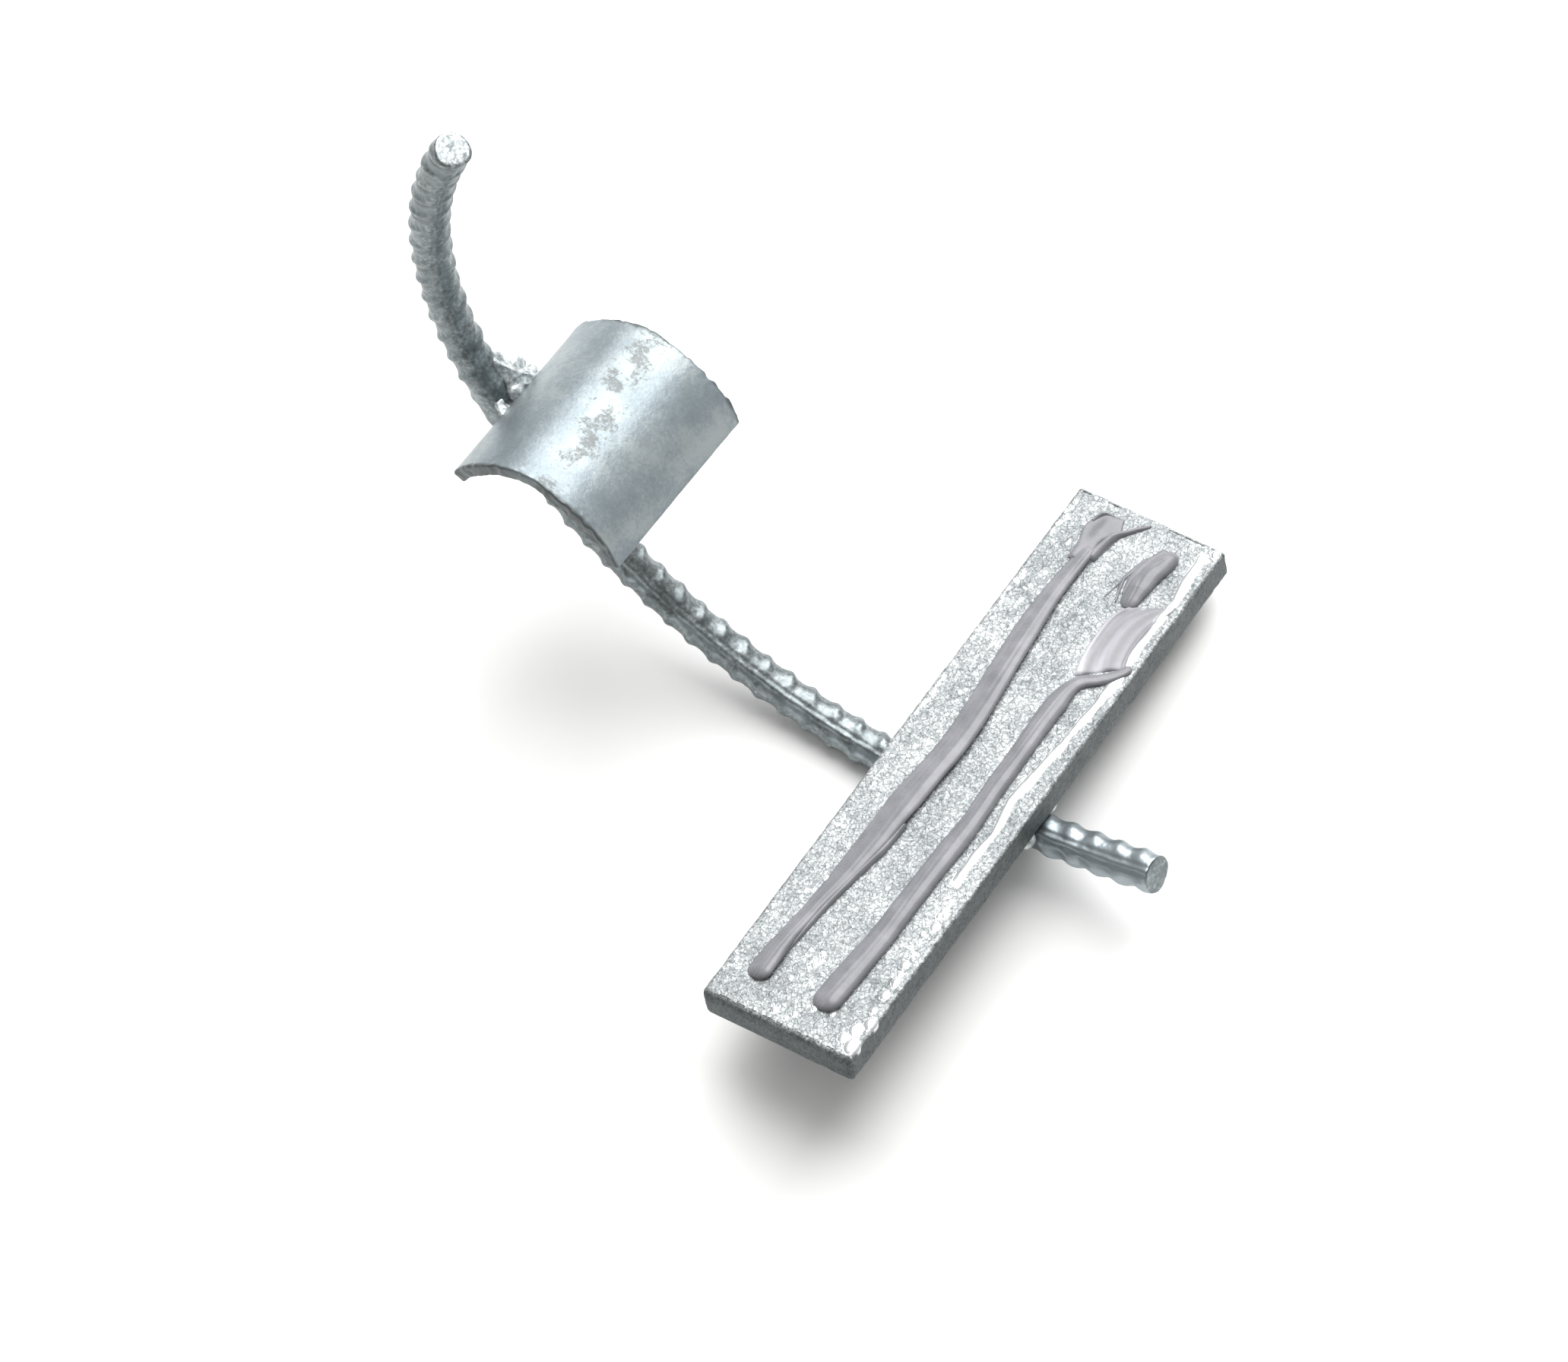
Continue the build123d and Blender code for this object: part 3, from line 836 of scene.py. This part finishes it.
trailing_ridge = bead(
    [(-9.0, -66.0), (-8.4, -56.0), (-7.5, -47.0), (-6.2, -38.0), (-4.4, -28.0), (-3.9, -20.0)],
    [(0, 0.4), (0.3, 0.7), (0.8, 0.8), (1, 0.6)], [(0, 0.6), (0.3, 1.3), (0.8, 1.6), (1, 1.4)],
    lean=0.2, seed=2, ring_count=24,
)


dirt_y = -73.4


def dirty_end(grid):
    """Dirt on the hook side of a bead's near end: a bell about a point 1.2 mm aside."""
    aside = grid[..., 0] - grid[:2, :, 0].mean() + 1.2
    return 0.7 * gauss(grid[..., 1] - dirt_y, 1.6) * gauss(aside, 2.0)


left_grids = [left_bead, trailing_ridge]
make_piece(
    "left_sealant_bead", left_grids, sealant, ["sealant_bead_left"],
    {"dirty_end": [dirty_end(grid) for grid in left_grids]},
)
right_run = [
    (6.4, -71.5), (6.9, -62.0), (7.9, -49.0), (8.1, -37.0), (8.5, -25.0), (9.0, -13.0),
    (8.6, -3.0), (8.5, 8.0), (8.2, 20.0), (8.6, 28.5), (10.3, 32.6), (13.5, 35.0),
    (16.6, 38.2), (18.3, 41.4),
]
right_widths = [
    (0, 3.5), (0.08, 3.5), (0.2, 3.1), (0.35, 2.9), (0.45, 3.0), (0.52, 2.6), (0.72, 2.6),
    (0.82, 2.8), (0.88, 2.0), (1, 1.0),
]
right_heights = [
    (0, 2.3), (0.06, 2.3), (0.2, 2.1), (0.45, 2.3), (0.55, 2.0), (0.8, 2.2), (0.87, 1.8),
    (1, 0.8),
]
right_bead = bead(right_run, right_widths, right_heights, lean=0.4, seed=3)
make_piece(
    "right_sealant_bead", [right_bead], sealant, ["sealant_bead_right"],
    {"dirty_end": [dirty_end(right_bead)]},
)

# The end bead's stump, with a torn skin beside it and strings that were drawn out.
end_bead = bead(
    [(8.2, 55.0), (7.7, 59.5), (8.0, 65.0), (9.3, 70.0), (10.3, 73.5)],
    [(0, 2.0), (0.35, 3.0), (0.7, 3.0), (1, 2.2)], [(0, 1.0), (0.3, 2.0), (0.8, 2.3), (1, 2.0)],
    lean=0.3, seed=5,
)
torn_skin = bead(
    [(5.6, 58.0), (5.2, 63.5), (6.5, 69.0), (8.3, 73.4)],
    [(0, 0.5), (0.4, 1.2), (1, 1.3)], [(0, 0.5), (0.4, 1.1), (1, 1.0)], lean=0.1, seed=6,
)
string_heights = [(0, 0.2), (0.5, 0.45), (1, 0.3)]
strings = [
    bead(path, [(0, 0.2), (0.5, width), (1, 0.25)], string_heights, 0.1, seed, ring_count=16)
    for path, width, seed in (
        ([(2.0, 55.5), (2.9, 60.0), (3.6, 65.0), (5.0, 69.5)], 0.35, 7),
        ([(3.4, 62.0), (4.4, 66.5), (6.4, 70.5), (9.0, 72.6)], 0.5, 9),
        ([(5.0, 55.5), (3.7, 60.0), (3.1, 64.0)], 0.45, 10),
    )
]
make_piece(
    "end_sealant_bead", [end_bead, torn_skin, *strings],
    sealant, ["sealant_bead_end"],
)


# ==== Sealant film and smear =======================================================
# Where the beads met the plate's far end they were wiped: a thin pale film between
# the right bead and the plate's edge, and a torn, flattened head on the left bead.


def patch(left, right, thickness, wave):
    """A thin skin between two curves, closed below, and each point's shares u and v.

    At share u from the left curve to the right one and v along both, the rim is
    (1 - |2u-1|^10)^0.5 * (1 - |2v-1|^10)^0.5, and the height is (thickness +
    wave(u, v)) * rim - sunk * (1 - rim). The underside lies sunk below the plate's face.
    """
    count = 110
    sunk = 0.2
    t = (1 - np.cos(np.linspace(0, math.pi, count))) / 2
    left, right = (smooth_path(side, count)[0] for side in (left, right))
    u, v = np.meshgrid(t, np.linspace(0, 1, count))
    base = left[:, None] * (1 - u)[..., None] + right[:, None] * u[..., None]
    rim = np.sqrt(1 - np.abs(2 * u - 1) ** 10) * np.sqrt(1 - np.abs(2 * v - 1) ** 10)
    top = (thickness + wave(u, v)) * rim - sunk * (1 - rim)
    upper = np.concatenate([base, np.where(rim > 0, top, -sunk)[..., None]], -1)
    lower = np.concatenate([base, np.full(u.shape + (1,), -sunk)], -1)
    share = [np.concatenate([side, side[:, ::-1]], axis=1) for side in (u, v)]
    return np.concatenate([upper, lower[:, ::-1]], axis=1), share


def wiped(u, v):
    """Lengthwise waves left by the tool, with a lip along three sides, thinner at the end.

    It is 0.24 sin(2 pi (1.9 u + 0.25 sin 3v)), bells at u = 0.06, u = 0.95 and
    v = 0.03 for the lips, and a fall of 0.25 v.
    """
    waves = 0.24 * np.sin(2 * math.pi * (1.9 * u + 0.25 * np.sin(3 * v)))
    waves = waves + 0.35 * gauss(u - 0.06, 0.06)
    return waves + 0.25 * gauss(u - 0.95, 0.04) + 0.2 * gauss(v - 0.03, 0.05) - 0.25 * v


# The same sealant wiped thin: paler and more even, with painted light and shade of the
# tool's waves in streaks, and stained brown along the plate's edge.
film_skin, tree = new_material("wiped_sealant_film")
place = add(tree, "ShaderNodeTexCoord").outputs["Object"]
# Painted light and shade of the tool's waves, from the film's marks.
body = add(tree, "ShaderNodeAttribute", {"attribute_name": "film_body"}).outputs["Fac"]
soiled = add(tree, "ShaderNodeAttribute", {"attribute_name": "soiled_edge"}).outputs["Fac"]
cloud = add(tree, "ShaderNodeTexNoise", Vector=place, Scale=1000 / 2.0, Detail=3.0, Roughness=0.5)
cloudy = add(
    tree, "ShaderNodeMath", {"operation": "MULTIPLY_ADD"},
    _0=cloud.outputs["Fac"], _1=0.25, _2=body,
)
tone = add(tree, "ShaderNodeValToRGB", {"stops": [
    (0.12, "#828287"), (0.55, "#9f9ea4"), (1.0, "#c6c5cb"),
]}, Fac=cloudy.outputs[0])
tone = add(
    tree, "ShaderNodeMix", {"data_type": "RGBA"},
    Factor=soiled, _6=tone.outputs["Color"], _7=colour("#7b5a4c"),
)
shader = add(
    tree, "ShaderNodeBsdfPrincipled", Base_Color=tone.outputs[2], Roughness=0.30, IOR=1.46,
)
finish_material(tree, shader)
film, film_share = patch(
    [(7.6, 33.0), (6.5, 38.0), (6.0, 45.0), (6.2, 51.0), (8.6, 56.0)],
    [(17.4, 40.4), (16.6, 42.5), (16.2, 47.0), (16.6, 53.0), (18.9, 60.5)], 0.50, wiped,
)
u, v = film_share
# Painted light and shade: streaks across the tool's waves, darker to the right and towards the far
# end.
painted_wave_bands = 0.5 + 0.5 * np.cos(2 * math.pi * (2.4 * u + 0.12 * np.sin(3 * v)) - 1.2)
film_body = np.clip(painted_wave_bands * (1.1 - 0.9 * u) * (1.15 - 0.8 * v), 0, 1)
soiled_edge = np.clip((u - 0.985) / 0.01, 0, 1) * (v < 0.6)
make_piece(
    "wiped_film", [film], film_skin, ["sealant_film"],
    {"film_body": [film_body], "soiled_edge": [soiled_edge]},
)


def crumpled(u, v):
    """A skin pushed up in uneven folds: two sine waves that cross."""
    folds = 0.35 * np.sin(2 * math.pi * (1.4 * u + 0.8 * v)) * v + 0.25 * np.sin(9 * u - 5 * v)
    return folds * 0.45


smear, _ = patch(
    [(-11.8, 61.0), (-12.0, 66.0), (-13.0, 71.0), (-10.8, 76.4)],
    [(-6.4, 61.0), (-4.6, 66.5), (-4.0, 71.5), (-5.4, 76.4)], 0.6, crumpled,
)
torn_ridge = bead(
    [(-6.6, 62.5), (-5.9, 67.0), (-4.8, 71.0), (-2.7, 73.6), (-0.9, 75.7), (1.0, 77.6)],
    [(0, 1.2), (0.45, 1.1), (0.7, 0.6), (1, 0.3)], [(0, 1.6), (0.45, 1.9), (0.7, 1.0), (1, 0.4)],
    lean=0.1, seed=8,
)
fold_widths = [(0, 0.3), (0.5, 0.6), (1, 0.3)]
fold_heights = [(0, 0.5), (0.5, 1.2), (1, 0.5)]
folds = [
    bead(path, fold_widths, fold_heights, 0.1, seed, ring_count=16)
    for path, seed in (
        ([(-11.6, 62.6), (-9.6, 61.6), (-7.6, 62.6), (-6.6, 64.6)], 11),
        ([(-7.6, 65.5), (-6.9, 69.0), (-5.2, 72.0)], 12),
        ([(-12.0, 72.5), (-10.6, 75.4), (-8.0, 76.0)], 13),
    )
]
make_piece(
    "smeared_head", [smear, torn_ridge, *folds], sealant, ["sealant_smear"],
)


# ==== Floor, light and camera ======================================================
# A plain white sweep under one broad soft light from behind, at about 51 degrees, a
# weak light overhead and a weaker one at the side. The camera looks down steeply
# with a long lens.

floor_mesh = bpy.data.meshes.new("floor")
floor_mesh.from_pydata([(-6, -6, 0), (6, -6, 0), (6, 6, 0), (-6, 6, 0)], [], [(0, 1, 2, 3)])
floor = bpy.data.objects.new("floor", floor_mesh)
bpy.context.scene.collection.objects.link(floor)
paper, tree = new_material("white_paper")
shader = add(tree, "ShaderNodeBsdfPrincipled", Base_Color=colour("#fbfbfa"), Roughness=0.9)
finish_material(tree, shader)
floor_mesh.materials.append(paper)


aim = np.array([0.00775, -0.00902, 0.035])  # metres: what the lights and the camera look at


def place_at(thing, distance, azimuth, elevation):
    """Puts a light or a camera on a sphere about the aim, looking at it.

    The azimuth is in degrees from +Y towards +X, and the elevation from the floor.
    """
    turn, rise = math.radians(azimuth), math.radians(elevation)
    level = math.cos(rise)
    offset = np.array([math.sin(turn) * level, math.cos(turn) * level, math.sin(rise)])
    thing.location = aim + offset * distance
    thing.rotation_euler = (math.pi / 2 - rise, 0, math.pi - turn)


def softbox(name, size, power, distance, azimuth, elevation):
    """A square-cornered area light of the given size in metres, aimed at the piece."""
    lamp = bpy.data.lights.new(name, "AREA")
    lamp.shape, lamp.size, lamp.size_y, lamp.energy = "RECTANGLE", size[0], size[1], power
    light = bpy.data.objects.new(name, lamp)
    bpy.context.scene.collection.objects.link(light)
    place_at(light, distance, azimuth, elevation)


view_azimuth, view_elevation, view_distance = 145.17, 66.87, 1.9932
view_roll = -1.65
softbox("back_softbox", (1.5, 1.9), 50.0, 1.6, view_azimuth + 192, 51.0)
softbox("top_fill", (1.2, 1.2), 4.0, 2.0, view_azimuth, 88.0)
softbox("side_fill", (1.4, 1.0), 1.4, 1.8, view_azimuth - 95, 32.0)
world = bpy.data.worlds.new("studio")
world.use_nodes = True
backdrop = world.node_tree.nodes["Background"]
backdrop.inputs["Color"].default_value = colour("#f3f3f1")
backdrop.inputs["Strength"].default_value = 0.38
bpy.context.scene.world = world
bpy.context.scene.view_settings.view_transform = "Standard"

lens = bpy.data.cameras.new("camera")
lens.lens, lens.sensor_width = 202.0, 36.0
camera = bpy.data.objects.new("camera", lens)
bpy.context.scene.collection.objects.link(camera)
place_at(camera, view_distance, view_azimuth, view_elevation)
camera.rotation_euler.rotate_axis("Z", math.radians(view_roll))
bpy.context.scene.camera = camera
